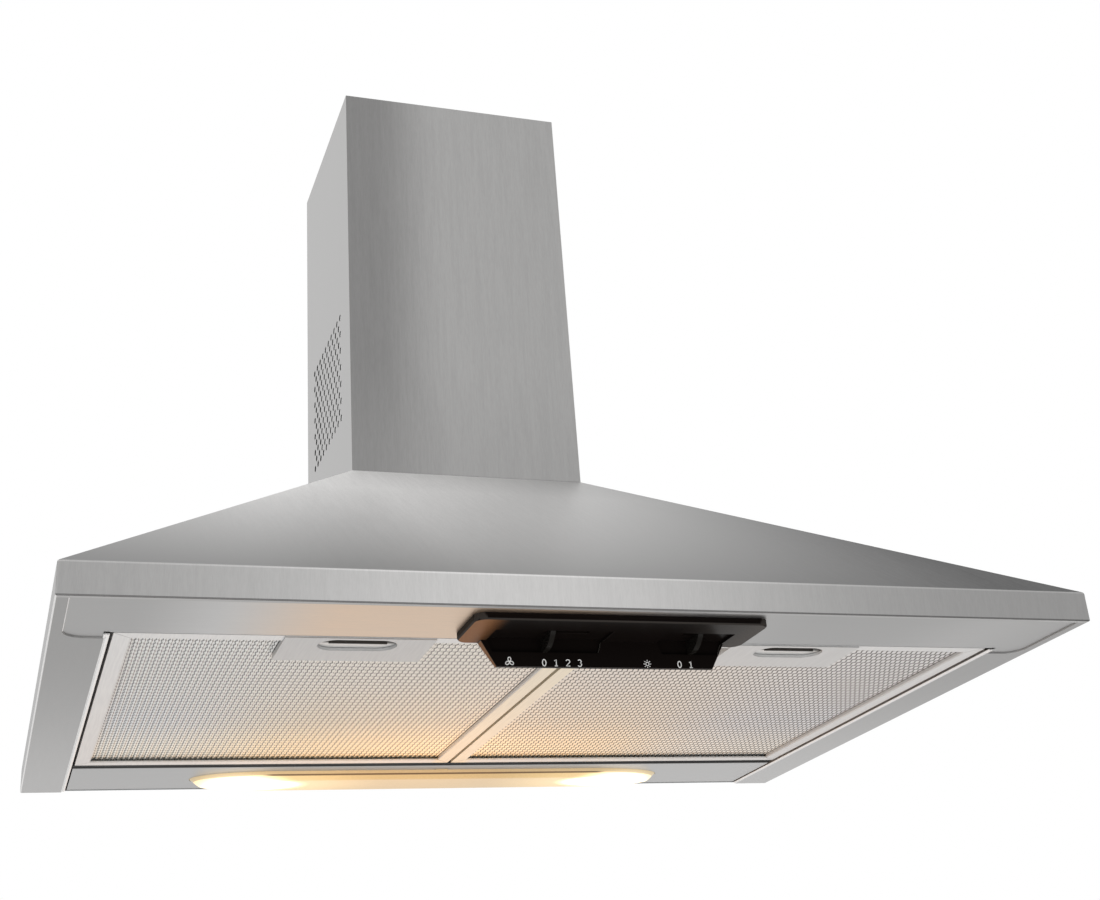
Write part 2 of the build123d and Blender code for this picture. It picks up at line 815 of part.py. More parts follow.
with BuildPart() as control_panel:
    with BuildSketch(level(bezel_low)):
        with Locations((control_offset, bezel_y)):
            RectangleRounded(bezel_width, bezel_depth, bezel_radius)
    extrude(amount=bezel_thickness)
    chamfer(control_panel.edges().group_by(Axis.Z)[0], length=bezel_chamfer)
    with BuildSketch(section(control_offset - blade_top_half)):
        with BuildLine():
            Polyline(
                (blade_y, steel),
                (blade_y, blade_low),
                (blade_y + blade_tip, blade_low),
                (bezel_rear_y - bezel_chamfer, bezel_low),
                (bezel_rear_y - bezel_chamfer, steel),
                close=True,
            )
        make_face()
    extrude(amount=2 * blade_top_half)
    # Slanted ends of the blade
    with BuildSketch(control_elevation(bezel_rear_y)):
        for side in (-1, 1):
            with BuildLine():
                Polyline(
                    (side * blade_top_half, bezel_low),
                    (side * blade_bottom_half, blade_low),
                    (side * blade_top_half, blade_low),
                    close=True,
                )
            make_face()
    extrude(amount=bezel_rear_y - blade_y, mode=Mode.SUBTRACT)
    # Recesses that run round the corner from the bezel to the blade
    for left, right in ((fan_recess_left, fan_recess_right), (lamp_recess_left, lamp_recess_right)):
        with BuildSketch(level(bezel_low)):
            with Locations((control_offset + (left + right) / 2, floor_y)):
                Rectangle(right - left, floor_y - recess_front_y, align=AT_WALL)
        extrude(amount=recess_depth, mode=Mode.SUBTRACT)
        with BuildSketch(control_elevation(floor_y)):
            with BuildLine():
                Polyline(
                    (left, floor_height),
                    (right, floor_height),
                    (right - recess_slant, recess_low),
                    (left + recess_slant, recess_low),
                    close=True,
                )
            make_face()
        extrude(amount=recess_depth, mode=Mode.SUBTRACT)
    # Slots for the stems of the sliders
    for zero, travel in ((fan_stop_zero, fan_travel), (lamp_stop_zero, lamp_travel)):
        with BuildSketch(level(bezel_low)):
            with Locations((control_offset + zero + travel / 2, stem_y)):
                Rectangle(travel + stem_size + 2 * stem_gap, stem_size + 2 * stem_gap)
        extrude(amount=bezel_thickness, mode=Mode.SUBTRACT)
    # Box for the switches
    with BuildSketch(level(steel)):
        with Locations((control_offset, box_y)):
            Rectangle(2 * box_half, box_rear_y - box_front_y)
            Rectangle(
                2 * (box_half - box_wall),
                box_rear_y - box_front_y - 2 * box_wall,
                mode=Mode.SUBTRACT,
            )
    extrude(amount=box_height)
control_panel.part.label = "control_panel"
export_step(control_panel.part, "parts/control_panel.step")


# ---- Sliders: a fin outside, a stem through the slot and a carrier with its peg inside ----

carrier_low = steel + slide_gap
fin_top = floor_height - slide_gap
fin_rear_y = floor_y - slide_gap
fin_front_y = recess_front_y + fin_front_gap
fin_low = recess_low + slide_gap


for name, stop in (("fan_slider", fan_stop_zero), ("lamp_slider", lamp_stop_zero + lamp_travel)):
    slider_x = control_offset + stop
    with BuildPart() as slider:
        with BuildSketch(section(slider_x - fin_thickness / 2)):
            with BuildLine():
                Polyline((fin_front_y, fin_top), (fin_rear_y, fin_top), (fin_rear_y, fin_low))
                ThreePointArc(
                    (fin_rear_y, fin_low),
                    ((fin_front_y + fin_rear_y) / 2 - fin_bulge, (fin_top + fin_low) / 2 - fin_bulge),
                    (fin_front_y, fin_top),
                )
            make_face()
        extrude(amount=fin_thickness)
        with BuildSketch(level(fin_top)):
            with Locations((slider_x, stem_y)):
                Rectangle(stem_size, stem_size)
        extrude(amount=carrier_low + carrier_thickness + peg_height - fin_top)
        with BuildSketch(level(carrier_low)):
            with Locations((slider_x, stem_y)):
                Rectangle(carrier_width, 2 * stem_size)
        extrude(amount=carrier_thickness)
    slider.part.label = name
    export_step(slider.part, f"parts/{name}.step")


# ---- Switch board: closes the box and carries the two slide switches ----

board_low = steel + box_height
with BuildPart() as switch_board:
    with BuildSketch(level(board_low)):
        with Locations((control_offset, box_y)):
            Rectangle(2 * box_half, box_rear_y - box_front_y)
    extrude(amount=board_thickness)
    for zero, travel in ((fan_stop_zero, fan_travel), (lamp_stop_zero, lamp_travel)):
        groove = travel + stem_size + 2 * stem_gap
        with BuildSketch(level(board_low)):
            with Locations((control_offset + zero + travel / 2, stem_y)):
                Rectangle(groove + 2 * switch_wall, switch_depth)
                Rectangle(groove, stem_size + 2 * stem_gap, mode=Mode.SUBTRACT)
        extrude(amount=-switch_height)
switch_board.part.label = "switch_board"
export_step(switch_board.part, "parts/switch_board.step")


# ---- Mounting plate: closes the top of the canopy and carries the blower ----

outlet_depth = scroll_first_radius + 3 * scroll_step
outlet_width = 2 * scroll_half
scroll_y = chimney_y - outlet_depth / 2 + scroll_step / 2
seat_width = outlet_width + 2 * scroll_wall + 2 * scroll_flange
seat_depth = outlet_depth + 2 * scroll_flange
seat_screws = [
    (side * (seat_width - scroll_flange) / 2, chimney_y + end * (seat_depth - scroll_flange) / 2)
    for side in (-1, 1)
    for end in (-1, 1)
]
plate_half = chimney_width / 2 - steel
with BuildPart() as mounting_plate:
    with BuildSketch(level(mount_plate_low)):
        Rectangle(2 * plate_half, chimney_depth - steel, align=AT_WALL)
        with Locations((0, chimney_y)):
            Rectangle(outlet_width, outlet_depth, mode=Mode.SUBTRACT)
        with Locations(*seat_screws):
            Circle(screw_radius + screw_gap, mode=Mode.SUBTRACT)
        with Locations((gland_x, gland_y)):
            Circle(gland_radius + screw_gap, mode=Mode.SUBTRACT)
    extrude(amount=mount_plate)
    # Fold that is screwed to the back plate
    with BuildSketch(elevation(-plate)):
        with Locations((0, mount_plate_low)):
            Rectangle(2 * plate_half - 2 * collar_flange, mount_fold, align=AT_WALL)
    extrude(amount=mount_plate)
mounting_plate.part.label = "mounting_plate"
export_step(mounting_plate.part, "parts/mounting_plate.step")


# ---- Blower housing: two halves of a scroll whose outlet points up ----

scroll_top_radius = scroll_first_radius + 2 * scroll_step
arm_screws = inlet_radius + arm_screw_offset


def scroll_section(grow):
    """Section of the scroll, grown outwards: three quarter arcs and the straight outlet."""
    half_step = scroll_step / 2
    first = (scroll_y - half_step, scroll_height - half_step)
    second = (scroll_y + half_step, scroll_height - half_step)
    third = (scroll_y + half_step, scroll_height + half_step)
    with BuildSketch() as outline:
        with BuildLine():
            top_arc = CenterArc(first, scroll_first_radius + grow, 90, 90)
            CenterArc(second, scroll_first_radius + scroll_step + grow, 180, 90)
            rear_arc = CenterArc(third, scroll_top_radius + grow, 270, 90)
            Line(rear_arc @ 1, top_arc @ 0)
        make_face()
        with Locations((chimney_y, mount_plate_low)):
            Rectangle(outlet_depth + 2 * grow, mount_plate_low - third[1], align=AT_WALL)
    return outline.sketch


scroll_outside = scroll_section(scroll_wall)
scroll_inside = scroll_section(0)


for side, hand in ((-1, "left"), (1, "right")):
    with BuildPart() as scroll:
        with BuildSketch(section(0)):
            add(scroll_outside)
        extrude(amount=side * (scroll_half + scroll_wall))
        # Flange under the mounting plate
        with BuildSketch(level(mount_plate_low - scroll_flange_thickness)):
            with Locations((side * seat_width / 4, chimney_y)):
                Rectangle(seat_width / 2, seat_depth)
        extrude(amount=scroll_flange_thickness)
        with BuildSketch(section(0)):
            add(scroll_inside)
        extrude(amount=side * scroll_half, mode=Mode.SUBTRACT)
        with BuildSketch(level(mount_plate_low)):
            with Locations(*seat_screws):
                Circle(screw_radius + screw_gap)
        extrude(amount=-scroll_flange_thickness, mode=Mode.SUBTRACT)
        # Inlet with its inner ring
        with BuildSketch(section(side * (scroll_half - inlet_ring))):
            with Locations((scroll_y, scroll_height)):
                Circle(inlet_radius + scroll_wall)
        extrude(amount=side * inlet_ring)
        with BuildSketch(section(side * (scroll_half - inlet_ring))):
            with Locations((scroll_y, scroll_height)):
                Circle(inlet_radius)
        extrude(amount=side * (inlet_ring + scroll_wall), mode=Mode.SUBTRACT)
        if side > 0:
            with BuildSketch(section(scroll_half)):
                with Locations((scroll_y, scroll_height)):
                    with PolarLocations(arm_screws, motor_arms, 90):
                        Circle(screw_radius + screw_gap)
            extrude(amount=scroll_wall, mode=Mode.SUBTRACT)
    scroll.part.label = f"scroll_{hand}"
    export_step(scroll.part, f"parts/scroll_{hand}.step")


# ---- Impeller: two rows of forward-curved blades on a common disc, with rims and hub ----

with BuildSketch() as blade_section:
    with BuildLine():
        blade_mid = (blade_inner_radius + impeller_radius) / 2
        Polyline(
            (blade_inner_radius + blade_inset, 0),
            (blade_mid + blade_camber, blade_rise),
            (impeller_radius - blade_inset, blade_lead),
        )
    trace(line_width=blade_thickness)

with BuildPart() as impeller:
    with BuildSketch(section(-impeller_half)):
        with Locations((scroll_y, scroll_height)):
            with PolarLocations(0, impeller_blades):
                add(blade_section.sketch)
    extrude(amount=2 * impeller_half)
    for x in (-impeller_half, impeller_half - rim_thickness):
        with BuildSketch(section(x)):
            with Locations((scroll_y, scroll_height)):
                Circle(impeller_radius)
                Circle(blade_inner_radius, mode=Mode.SUBTRACT)
        extrude(amount=rim_thickness)
    with BuildSketch(section(-disc_thickness / 2)):
        with Locations((scroll_y, scroll_height)):
            Circle(impeller_radius)
    extrude(amount=disc_thickness)
    with BuildSketch(section(-hub_half)):
        with Locations((scroll_y, scroll_height)):
            Circle(hub_radius)
    extrude(amount=2 * hub_half)
    with BuildSketch(section(-hub_half)):
        with Locations((scroll_y, scroll_height)):
            Circle(shaft_radius)
    extrude(amount=2 * hub_half, mode=Mode.SUBTRACT)
impeller.part.label = "impeller"
export_step(impeller.part, "parts/impeller.step")

with BuildPart() as motor_shaft:
    with BuildSketch(section(-hub_half - shaft_end)):
        with Locations((scroll_y, scroll_height)):
            Circle(shaft_radius)
    extrude(amount=hub_half + shaft_end + motor_outer_x + shaft_end)
motor_shaft.part.label = "motor_shaft"
export_step(motor_shaft.part, "parts/motor_shaft.step")


# ---- Motor in the right inlet, with the bracket that holds it ----

with BuildPart() as motor:
    with BuildSketch(section(motor_inner_x)):
        with Locations((scroll_y, scroll_height)):
            Circle(motor_radius)
    extrude(amount=motor_outer_x - motor_inner_x)
    chamfer(motor.edges().filter_by(GeomType.CIRCLE), length=motor_chamfer)
    with BuildSketch(section(motor_inner_x)):
        with Locations((scroll_y, scroll_height)):
            Circle(shaft_radius + bearing_gap)
    extrude(amount=motor_outer_x - motor_inner_x, mode=Mode.SUBTRACT)
motor.part.label = "motor"
export_step(motor.part, "parts/motor.step")

arm_reach = inlet_radius + arm_overlap
with BuildPart() as motor_bracket:
    with BuildSketch(section(scroll_half + scroll_wall)):
        with Locations((scroll_y, scroll_height)):
            Circle(motor_radius + bracket_ring)
            with PolarLocations(arm_reach / 2, motor_arms, 90):
                Rectangle(arm_reach, arm_width)
            Circle(motor_radius + bearing_gap, mode=Mode.SUBTRACT)
            with PolarLocations(arm_screws, motor_arms, 90):
                Circle(screw_radius + screw_gap, mode=Mode.SUBTRACT)
    extrude(amount=arm_thickness)
motor_bracket.part.label = "motor_bracket"
export_step(motor_bracket.part, "parts/motor_bracket.step")

with BuildPart() as motor_screws:
    with BuildSketch(section(scroll_half + scroll_wall + arm_thickness)):
        with Locations((scroll_y, scroll_height)):
            with PolarLocations(arm_screws, motor_arms, 90):
                RegularPolygon(screw_head_radius, screw_head_sides)
    extrude(amount=screw_head)
    with BuildSketch(section(scroll_half + scroll_wall + arm_thickness)):
        with Locations((scroll_y, scroll_height)):
            with PolarLocations(arm_screws, motor_arms, 90):
                Circle(screw_radius)
    extrude(amount=-arm_thickness - scroll_wall)
motor_screws.part.label = "motor_screws"
export_step(motor_screws.part, "parts/motor_screws.step")


# ---- Outlet spigot: leads from the rectangular outlet to the round duct ----

seat_top = mount_plate_top + spigot_flange
cone_top = mount_plate_top + spigot_cone
ledge_top = cone_top + flap_rise
pin_height = ledge_top + slide_gap + flap_thickness / 2


def spigot_block(grow):
    """Cone and collar of the spigot, grown outwards from the air way."""
    with BuildPart() as block:
        top_radius = spigot_radius - spigot_wall + grow
        corner_radius = math.hypot(outlet_width + 2 * grow, outlet_depth + 2 * grow) / 2
        with BuildSketch(level(mount_plate_top)):
            with Locations((0, chimney_y)):
                Rectangle(outlet_width + 2 * grow, outlet_depth + 2 * grow)
        with BuildSketch(level(cone_top)):
            with Locations((0, chimney_y)):
                Rectangle(2 * top_radius, 2 * top_radius)
        loft(ruled=True)
        with Locations(level(mount_plate_top) * Location((0, chimney_y, spigot_cone / 2))):
            Cone(corner_radius, top_radius, spigot_cone, mode=Mode.INTERSECT)
        with BuildSketch(level(cone_top)):
            with Locations((0, chimney_y)):
                Circle(top_radius)
        extrude(amount=spigot_collar)
    return block.part


spigot_outside = spigot_block(spigot_wall)
air_way = spigot_block(0)
with BuildPart() as outlet_spigot:
    add(spigot_outside)
    with BuildSketch(level(mount_plate_top)):
        with Locations((0, chimney_y)):
            Rectangle(seat_width, seat_depth)
    extrude(amount=spigot_flange)
    add(air_way, mode=Mode.SUBTRACT)
    # Ledge that the closed flaps rest on
    with BuildSketch(level(ledge_top - spigot_wall)):
        with Locations((0, chimney_y)):
            Circle(spigot_radius - spigot_wall / 2)
            Circle(spigot_radius - spigot_wall - ledge_width, mode=Mode.SUBTRACT)
    extrude(amount=spigot_wall)
    with BuildSketch(level(mount_plate_top)):
        with Locations(*seat_screws):
            Circle(screw_radius + screw_gap)
    extrude(amount=spigot_flange, mode=Mode.SUBTRACT)
    with BuildSketch(section(0)):
        with Locations((chimney_y - flap_pin_offset, pin_height), (chimney_y + flap_pin_offset, pin_height)):
            Circle(flap_pin_radius + pin_gap)
    extrude(amount=spigot_radius - pin_end, both=True, mode=Mode.SUBTRACT)
outlet_spigot.part.label = "outlet_spigot"
export_step(outlet_spigot.part, "parts/outlet_spigot.step")

with BuildPart() as flap_pins:
    with BuildSketch(section(0)):
        with Locations((chimney_y - flap_pin_offset, pin_height), (chimney_y + flap_pin_offset, pin_height)):
            Circle(flap_pin_radius)
    extrude(amount=spigot_radius - pin_end - pin_gap, both=True)
flap_pins.part.label = "flap_pins"
export_step(flap_pins.part, "parts/flap_pins.step")


# ---- Non-return flaps: two half discs, each turning on its own pin ----

for side, hand in ((-1, "front"), (1, "rear")):
    pin_y = chimney_y + side * flap_pin_offset
    plate_start = side * (flap_pin_offset + flap_pin_radius + eye_gap)
    with BuildPart() as flap:
        with BuildSketch(level(pin_height - flap_thickness / 2)):
            with Locations((0, chimney_y)):
                Circle(flap_radius)
            with Locations((0, chimney_y + plate_start - side * flap_radius)):
                Rectangle(2 * flap_radius, 2 * flap_radius, mode=Mode.SUBTRACT)
        extrude(amount=flap_thickness)
        with BuildSketch(section(0)):
            with Locations((pin_y, pin_height)):
                Circle(flap_eye_radius)
        extrude(amount=eye_half, both=True)
        with BuildSketch(section(0)):
            with Locations((pin_y, pin_height)):
                Circle(flap_pin_radius + flap_pin_gap)
        extrude(amount=eye_half, both=True, mode=Mode.SUBTRACT)
    flap.part.label = f"flap_{hand}"
    export_step(flap.part, f"parts/flap_{hand}.step")


# ---- Screws of the blower, cable gland and terminal box ----

with BuildPart() as blower_screws:
    with BuildSketch(level(seat_top)):
        with Locations(*seat_screws):
            RegularPolygon(screw_head_radius, screw_head_sides)
    extrude(amount=screw_head)
    with BuildSketch(level(seat_top)):
        with Locations(*seat_screws):
            Circle(screw_radius)
    extrude(amount=mount_plate_low - scroll_flange_thickness - screw_end - seat_top)
blower_screws.part.label = "blower_screws"
export_step(blower_screws.part, "parts/blower_screws.step")

with BuildPart() as cable_gland:
    with BuildSketch(level(mount_plate_low - gland_drop)):
        with Locations((gland_x, gland_y)):
            Circle(gland_radius)
    extrude(amount=gland_length)
    with BuildSketch(level(mount_plate_top)):
        with Locations((gland_x, gland_y)):
            RegularPolygon(gland_nut, 6)
    extrude(amount=gland_nut_height)
    with BuildSketch(level(mount_plate_low - gland_drop)):
        with Locations((gland_x, gland_y)):
            Circle(gland_radius / 2)
    extrude(amount=gland_length, mode=Mode.SUBTRACT)
cable_gland.part.label = "cable_gland"
export_step(cable_gland.part, "parts/cable_gland.step")

with BuildPart() as terminal_box:
    with BuildSketch(elevation(-plate)):
        with Locations((terminal_box_x, terminal_box_low + terminal_box_height / 2)):
            Rectangle(terminal_box_width, terminal_box_height)
    extrude(amount=terminal_box_depth)
    chamfer(terminal_box.edges().group_by(Axis.Y)[0], length=terminal_box_chamfer)
terminal_box.part.label = "terminal_box"
export_step(terminal_box.part, "parts/terminal_box.step")
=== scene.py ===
import math

import bmesh
import bpy
from mathutils import Matrix, Vector


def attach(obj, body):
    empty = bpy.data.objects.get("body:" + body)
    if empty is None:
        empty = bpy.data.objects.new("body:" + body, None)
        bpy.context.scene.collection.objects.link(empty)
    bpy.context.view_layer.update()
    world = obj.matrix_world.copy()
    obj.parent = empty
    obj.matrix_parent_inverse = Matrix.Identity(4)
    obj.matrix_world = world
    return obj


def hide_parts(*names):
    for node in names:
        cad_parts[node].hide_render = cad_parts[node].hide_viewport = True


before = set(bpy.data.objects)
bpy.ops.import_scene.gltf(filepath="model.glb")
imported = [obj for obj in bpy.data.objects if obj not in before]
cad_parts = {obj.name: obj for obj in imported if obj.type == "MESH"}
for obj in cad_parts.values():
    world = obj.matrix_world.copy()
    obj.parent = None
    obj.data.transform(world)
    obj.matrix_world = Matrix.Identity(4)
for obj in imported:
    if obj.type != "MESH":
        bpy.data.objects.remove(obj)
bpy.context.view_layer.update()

MM = 0.001
SQUARE_MM = 1e-6
RIM_Z = -0.105  # height of the canopy's lower rim in the frame

# The right filter in millimetres, its centre and half its size; the left one mirrors it in x
FILTER_X, FILTER_Y = 133.8, -243.0
FILTER_HALF_WIDTH, FILTER_HALF_DEPTH = 132.5, 160.0


def at(x, y, h):
    """Point from millimetres, with the height counted from the lower rim of the canopy."""
    return Vector((x * MM, y * MM, h * MM + RIM_Z))


def add_object(name, data):
    thing = bpy.data.objects.new(name, data)
    bpy.context.scene.collection.objects.link(thing)
    return thing


# ---- Camera, as fitted to the photo ----

CAMERA_PLACE = at(-325.19, -1270.45, -255.27)
CAMERA_TURN = Vector((-25.821, -0.167, 20.297))  # axis of the turn; its length is the angle
PHOTO_WIDTH = 1100
FOCAL_LENGTH = 1632.73  # this and the shift in pixels of the photo
CENTRE_SHIFT_X, CENTRE_SHIFT_Y = -50, -90
SENSOR_WIDTH = 36.0


def add_camera():
    turn = Matrix.Rotation(math.radians(CAMERA_TURN.length), 3, CAMERA_TURN.normalized())
    right, forward, up = turn
    rotation = Matrix((right, up, -forward)).transposed()
    data = bpy.data.cameras.new("photo_camera")
    data.sensor_width = SENSOR_WIDTH
    data.lens = FOCAL_LENGTH / PHOTO_WIDTH * SENSOR_WIDTH
    data.shift_x = CENTRE_SHIFT_X / PHOTO_WIDTH
    data.shift_y = CENTRE_SHIFT_Y / PHOTO_WIDTH
    data.clip_start = 0.05
    camera = add_object("photo_camera", data)
    camera.matrix_world = Matrix.Translation(CAMERA_PLACE) @ rotation.to_4x4()
    bpy.context.scene.camera = camera


add_camera()


# ---- Node graphs ----

class Graph:
    """The node graph of a new material or world, with short calls for the nodes used here.

    A value is a number, a colour or the output socket of a node.
    """

    def __init__(self, owner):
        owner.use_nodes = True
        self.owner = owner
        self.tree = owner.node_tree
        self.tree.nodes.clear()

    def put(self, socket, value):
        if isinstance(value, bpy.types.NodeSocket):
            self.tree.links.new(value, socket)
        elif socket.type == "RGBA":
            socket.default_value = (*value, 1)
        else:
            socket.default_value = value

    def node(self, kind, inputs=None, **settings):
        made = self.tree.nodes.new(kind)
        for key, value in settings.items():
            setattr(made, key, value)
        for key, value in (inputs or {}).items():
            self.put(made.inputs[key], value)
        return made

    # Numbers

    def math(self, operation, first, *others):
        """The operation on one number, or from left to right on two or more."""
        if not others:
            return self.node("ShaderNodeMath", {0: first}, operation=operation).outputs[0]
        for other in others:
            made = self.node("ShaderNodeMath", {0: first, 1: other}, operation=operation)
            first = made.outputs[0]
        return first

    def plus(self, *values):
        return self.math("ADD", *values)

    def minus(self, a, b):
        return self.math("SUBTRACT", a, b)

    def times(self, *values):
        return self.math("MULTIPLY", *values)

    def over(self, a, b):
        return self.math("DIVIDE", a, b)

    def most(self, *values):
        return self.math("MAXIMUM", *values)

    def size(self, value):
        return self.math("ABSOLUTE", value)

    def remap(self, value, low, high, to_low, to_high, kind="LINEAR"):
        return self.node("ShaderNodeMapRange", {
            "Value": value, "From Min": low, "From Max": high, "To Min": to_low, "To Max": to_high},
            interpolation_type=kind).outputs[0]

    def smooth(self, value, low, high, to_low=0.0, to_high=1.0):
        """A soft step from to_low, where value is low, to to_high, where it is high."""
        return self.remap(value, low, high, to_low, to_high, "SMOOTHSTEP")

    def between(self, value, low, high, soft):
        """1 where value lies between low and high, falling to 0 over soft outside them."""
        over_low = self.smooth(value, low - soft, low)
        under_high = self.smooth(value, high + soft, high)
        return self.times(over_low, under_high)

    def hill(self, value, centre, width, rise):
        """1 far from the centre, 1 + rise at it, with a bell's shape."""
        off = self.over(self.minus(value, centre), width)
        bell = self.math("EXPONENT", self.times(off, off, -1.0))
        return self.plus(1.0, self.times(bell, rise))

    def blend(self, mask, a, b):
        """The number a where the mask is 0 and b where it is 1."""
        return self.node("ShaderNodeMix", {0: mask, 2: a, 3: b}, data_type="FLOAT").outputs[0]

    # Places, directions and noise

    def split(self, output):
        parts = self.node("ShaderNodeSeparateXYZ", {
            0: self.node("ShaderNodeTexCoord").outputs[output]})
        return parts.outputs[0], parts.outputs[1], parts.outputs[2]

    def place(self):
        """X, Y and Z of the point in the frame, in metres."""
        return self.split("Object")

    def facing(self):
        """X, Y and Z of the surface's direction in the frame."""
        return self.split("Normal")

    def noise(self, scale, detail=2.0, stretch=(1, 1, 1), roughness=0.5):
        """Noise on the frame's coordinates; stretch multiplies its three axes."""
        mapped = self.node("ShaderNodeMapping", {
            "Vector": self.node("ShaderNodeTexCoord").outputs["Object"], "Scale": stretch})
        return self.node("ShaderNodeTexNoise", {
            "Vector": mapped.outputs[0], "Scale": scale, "Detail": detail,
            "Roughness": roughness}).outputs[0]

    # Colours and shaders

    def mix(self, factor, a, b):
        """The colour a where the factor is 0 and b where it is 1."""
        return self.node("ShaderNodeMix", {0: factor, 6: a, 7: b}, data_type="RGBA").outputs[2]

    def scaled(self, colour, tone):
        """The colour times a number or another colour."""
        return self.node(
            "ShaderNodeVectorMath", {0: colour, 1: tone}, operation="MULTIPLY").outputs[0]

    def bump(self, height, strength, distance):
        return self.node("ShaderNodeBump", {
            "Height": height, "Strength": strength, "Distance": distance}).outputs[0]

    def surface(self, **inputs):
        """Principled shader to the output; keys use _ for the blanks of the socket names."""
        shader = self.node("ShaderNodeBsdfPrincipled", {
            key.replace("_", " "): value for key, value in inputs.items()})
        self.node("ShaderNodeOutputMaterial", {0: shader.outputs[0]})
        return self.owner


def material_graph(name):
    return Graph(bpy.data.materials.new(name))


def spread(colour, contrast):
    """The colour a little darker and a little lighter."""
    return (tuple(c * (1 - contrast) for c in colour),
            tuple(min(1, c * (1 + contrast)) for c in colour))


WHITE = (1.0, 1.0, 1.0)


# ---- Brushed steel ----

STEEL = (0.50, 0.495, 0.49)


def brushed(name, grain, roughness, contrast, tone, metallic=1.0):
    """Brushed steel; grain is the stretch of the brushing noise, small along the strokes.

    tone gets the graph and returns how much lighter or darker the sheet is painted at each place:
    painted reflections and shade.
    metallic below 1 lets the sides that don't face down take some even light as well.
    """
    g = material_graph(name)
    fine = g.noise(1.0, 3.0, tuple(2600 * s for s in grain), 0.6)
    broad = g.noise(1.0, 2.0, tuple(420 * s for s in grain))
    streak = g.plus(g.times(fine, 0.65), g.times(broad, 0.35))
    shade = g.mix(g.smooth(streak, 0.32, 0.68), *spread(STEEL, contrast))
    if metallic < 1:
        _, _, nz = g.facing()
        metallic = g.smooth(nz, -0.5, -0.1, 1.0, metallic)
    return g.surface(
        Base_Color=g.scaled(shade, tone(g)),
        Metallic=metallic,
        Roughness=g.remap(streak, 0.3, 0.7, roughness - 0.04, roughness + 0.05),
        Normal=g.bump(fine, 0.12, 0.00004))


# The chimney's inside, painted darker low down as shade, ends at planes in the middle of its walls;
# all in metres
INSIDE_X, INSIDE_Y, INSIDE_EDGE = 0.0880, -0.1725, 0.0002
# The edges of the vent holes, painted dark as shade from VENT_X outwards
VENT_X, VENT_EDGE = 0.08785, 0.00005
FIRST_VENT_Y, LAST_VENT_Y = -0.155, -0.012


def chimney_painted_light(g):
    """Painted light and shade: even sides, a front painted darker, above all at its left, and the
    vent edges and lower inside painted dark as shade.
    """
    x, y, z = g.place()
    nx, ny, _ = g.facing()
    # Painted reflection and shade across the front, with a painted change near its foot
    across = g.minus(g.smooth(x, -0.072, -0.008, 0.46, 0.73), g.smooth(x, 0.02, 0.09, 0.0, 0.015))
    foot = g.times(g.smooth(z, 0.20, 0.09), g.smooth(x, -0.06, -0.02, 0.055, -0.05))
    tone = g.blend(g.smooth(ny, -0.4, -0.6), 0.775, g.plus(across, foot))
    # Painted shade inside: dark low down and lighter towards the open top
    inside = g.times(
        g.between(x, -INSIDE_X, INSIDE_X, INSIDE_EDGE),
        g.smooth(y, INSIDE_Y - INSIDE_EDGE, INSIDE_Y))
    tone = g.blend(inside, tone, g.smooth(z, 0.25, 0.42, 0.03, 1.0))
    # Vent edges painted nearly black, as the shade seen through the holes
    vent = g.times(
        g.between(y, FIRST_VENT_Y, LAST_VENT_Y, 0.001),
        g.smooth(g.size(nx), 0.9, 0.8),
        g.smooth(g.size(x), VENT_X - VENT_EDGE, VENT_X))
    return g.blend(vent, tone, 0.02)


def canopy_painted_light(g):
    """Painted reflections and shade: slopes painted light below the chimney and dark at the right,
    a skirt painted light in its middle.

    The folds show as thin painted lines, and the rim is painted lighter towards the wall.
    """
    x, y, z = g.place()
    _, ny, nz = g.facing()
    # Painted reflection on the front slope: light below the chimney, falling off to dark at the
    # right
    beside = g.plus(x, 0.080)
    fall = g.most(g.times(beside, 2.95), g.times(beside, -1.8))
    rise = g.remap(z, -0.085, 0.050, 0.70, 1.88)
    front_slope = g.times(rise, g.most(g.minus(1.0, fall), 0.04))
    slope = g.blend(g.smooth(ny, -0.2, -0.4), 0.85, front_slope)
    # Painted reflection on the front skirt, lightest in its middle
    front_skirt = g.times(g.hill(x, -0.06, 0.16, 0.9), 0.59)
    skirt = g.blend(g.smooth(ny, -0.5, -0.7), 0.8, front_skirt)
    # Rim painted lighter towards the wall, on its front strip and at the right
    rim = g.times(
        g.smooth(y, -0.40, -0.02, 0.68, 0.94),
        g.smooth(y, -0.4660, -0.4664, 1.0, 1.3),
        g.smooth(x, 0.26, 0.27, 1.0, 1.10))
    # Painted lines on the folds: a highlight on the upper fold; on the lower fold shade at the
    # front and a highlight at the sides
    painted_upper_fold = g.times(skirt, 1.35)
    painted_lower_fold = g.blend(g.smooth(ny, -0.1, -0.2), 1.5, 0.30)
    tone = g.blend(g.smooth(nz, 0.05, 0.3), skirt, painted_upper_fold)
    tone = g.blend(g.smooth(nz, 0.70, 0.76), tone, slope)
    tone = g.blend(g.smooth(nz, -0.1, -0.2), tone, painted_lower_fold)
    return g.blend(g.smooth(nz, -0.97, -0.99), tone, rim)


def panel_painted_light(g):
    """Painted darker at both ends, and painted warm with the lamps' mirrored light left of the
    controls.
    """
    x, _, _ = g.place()
    # Painted falloff: darker at both ends, a little lighter near the right end
    even = g.times(
        g.smooth(x, -0.265, -0.205, 0.70, 0.99),
        g.smooth(x, 0.0, 0.13, 1.0, 0.69),
        g.hill(x, 0.24, 0.04, 0.16))
    # Painted warm reflection of the lamps left of the controls
    warm = g.times(g.smooth(x, -0.220, -0.150), g.smooth(x, 0.05, -0.05))
    return g.scaled(g.mix(warm, WHITE, (1.32, 1.02, 0.77)), even)


